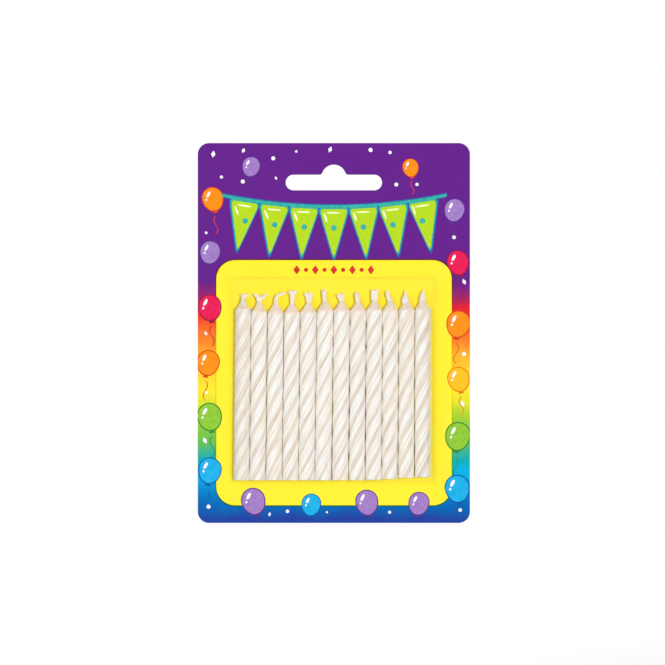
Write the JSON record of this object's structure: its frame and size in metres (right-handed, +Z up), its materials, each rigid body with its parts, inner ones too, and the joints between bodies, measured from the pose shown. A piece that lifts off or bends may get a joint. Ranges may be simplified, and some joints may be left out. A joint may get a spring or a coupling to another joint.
{
  "type": "carded pack of birthday candles",
  "caption": "Row of white spiral birthday candles under a clear pocket on a printed hang card with a euro slot.",
  "frame": {"origin": "middle of the euro slot, on the back face of the card", "axes": "+Z up along the card towards its hang slot, +X to the right as seen from the front, -Y out of the printed face"},
  "size_m": [0.091, 0.0066, 0.127],
  "materials": {
    "printed_board": "satin",
    "clear_film": "gloss",
    "candle_wax": "satin",
    "cotton_wick": "matte"
  },
  "bodies": {
    "card_pack": {"hang_card": "printed_board", "blister_cover": "clear_film"},
    "candle_01": {"candle_wax_01": "candle_wax", "candle_wick_01": "cotton_wick"},
    "candle_02": {"candle_wax_02": "candle_wax", "candle_wick_02": "cotton_wick"},
    "candle_03": {"candle_wax_03": "candle_wax", "candle_wick_03": "cotton_wick"},
    "candle_04": {"candle_wax_04": "candle_wax", "candle_wick_04": "cotton_wick"},
    "candle_05": {"candle_wax_05": "candle_wax", "candle_wick_05": "cotton_wick"},
    "candle_06": {"candle_wax_06": "candle_wax", "candle_wick_06": "cotton_wick"},
    "candle_07": {"candle_wax_07": "candle_wax", "candle_wick_07": "cotton_wick"},
    "candle_08": {"candle_wax_08": "candle_wax", "candle_wick_08": "cotton_wick"},
    "candle_09": {"candle_wax_09": "candle_wax", "candle_wick_09": "cotton_wick"},
    "candle_10": {"candle_wax_10": "candle_wax", "candle_wick_10": "cotton_wick"},
    "candle_11": {"candle_wax_11": "candle_wax", "candle_wick_11": "cotton_wick"},
    "candle_12": {"candle_wax_12": "candle_wax", "candle_wick_12": "cotton_wick"}
  },
  "joints": [
    {"name": "candle_01_slide", "type": "slide", "parent": "card_pack", "child": "candle_01", "axis": [0.0091, 0, 1], "range_m": [0, 0.003]},
    {"name": "candle_02_slide", "type": "slide", "parent": "card_pack", "child": "candle_02", "axis": [0.0096, 0, 1], "range_m": [0, 0.003]},
    {"name": "candle_03_slide", "type": "slide", "parent": "card_pack", "child": "candle_03", "axis": [0.0101, 0, 0.9999], "range_m": [0, 0.003]},
    {"name": "candle_04_slide", "type": "slide", "parent": "card_pack", "child": "candle_04", "axis": [0.0117, 0, 0.9999], "range_m": [0, 0.003]},
    {"name": "candle_05_slide", "type": "slide", "parent": "card_pack", "child": "candle_05", "axis": [0.0126, 0, 0.9999], "range_m": [0, 0.003]},
    {"name": "candle_06_slide", "type": "slide", "parent": "card_pack", "child": "candle_06", "axis": [0.0127, 0, 0.9999], "range_m": [0, 0.003]},
    {"name": "candle_07_slide", "type": "slide", "parent": "card_pack", "child": "candle_07", "axis": [0.0099, 0, 1], "range_m": [0, 0.003]},
    {"name": "candle_08_slide", "type": "slide", "parent": "card_pack", "child": "candle_08", "axis": [0.0073, 0, 1], "range_m": [0, 0.003]},
    {"name": "candle_09_slide", "type": "slide", "parent": "card_pack", "child": "candle_09", "axis": [0.0059, 0, 1], "range_m": [-0.00015, 0.00285]},
    {"name": "candle_10_slide", "type": "slide", "parent": "card_pack", "child": "candle_10", "axis": [0.0058, 0, 1], "range_m": [-0.0004, 0.0026]},
    {"name": "candle_11_slide", "type": "slide", "parent": "card_pack", "child": "candle_11", "axis": [0.004, 0, 1], "range_m": [-0.00075, 0.00225]},
    {"name": "candle_12_slide", "type": "slide", "parent": "card_pack", "child": "candle_12", "axis": [0.0016, 0, 1], "range_m": [-0.00095, 0.00205]}
  ]
}
